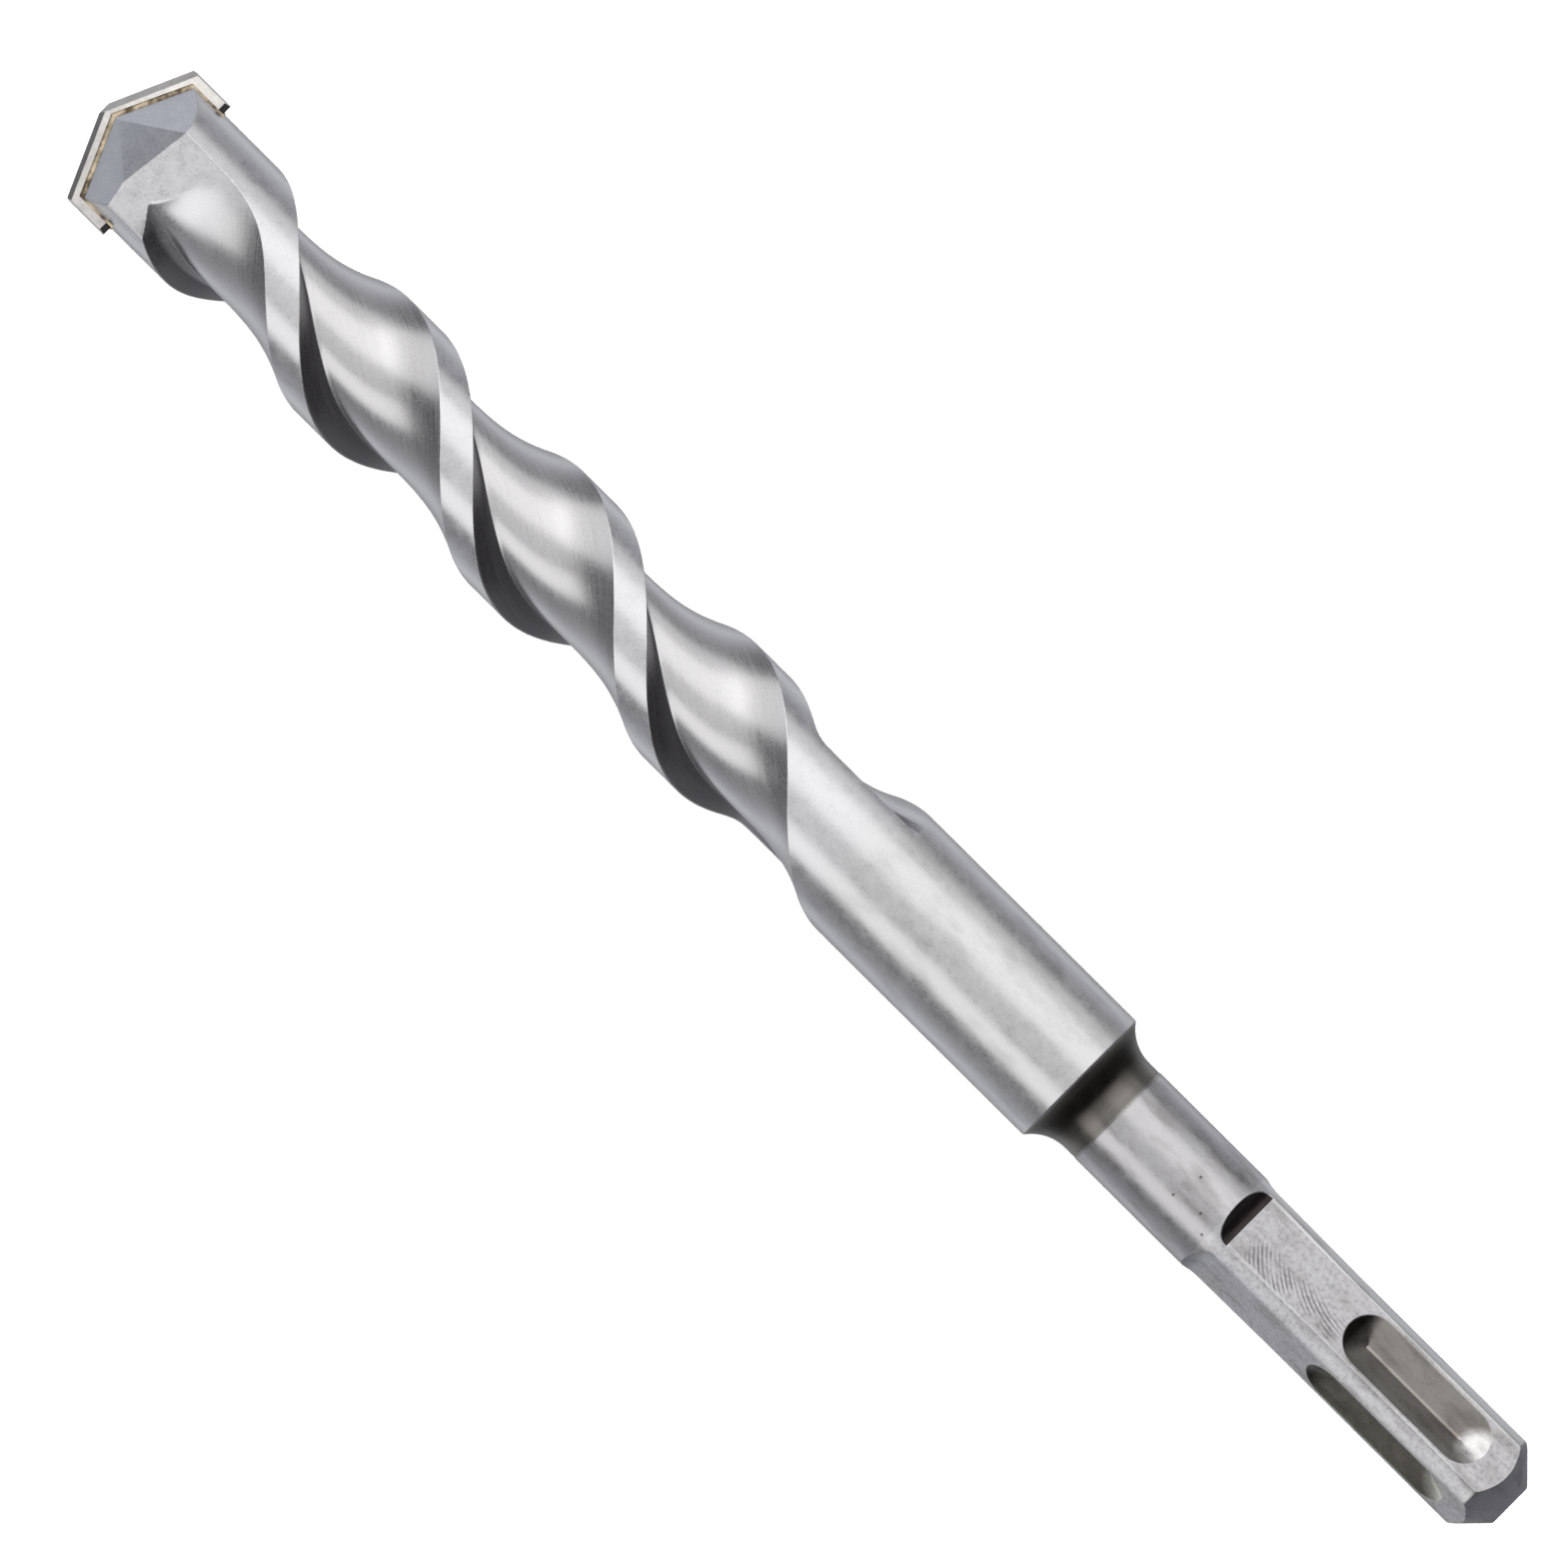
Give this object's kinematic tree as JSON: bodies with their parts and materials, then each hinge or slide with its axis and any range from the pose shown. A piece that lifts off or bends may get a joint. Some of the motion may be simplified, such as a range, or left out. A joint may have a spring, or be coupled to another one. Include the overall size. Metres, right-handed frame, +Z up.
{
  "type": "masonry hammer drill bit",
  "caption": "Hammer drill bit with helical flutes, a carbide plate brazed across its pointed head, and a squared shank with a driving pocket in each flat.",
  "frame": {"origin": "centre of the shank's end face", "axes": "+X along the drill's axis towards the carbide point, +Z up, out of the side that faces the camera, with the drill lying down"},
  "size_m": [0.164, 0.015, 0.0132],
  "materials": {
    "body_steel": "satin",
    "carbide": "matt ground carbide",
    "braze": "dull"
  },
  "bodies": {
    "root": {"drill_body": "body_steel", "carbide_tip": "carbide", "braze_seam": "braze"}
  },
  "joints": []
}
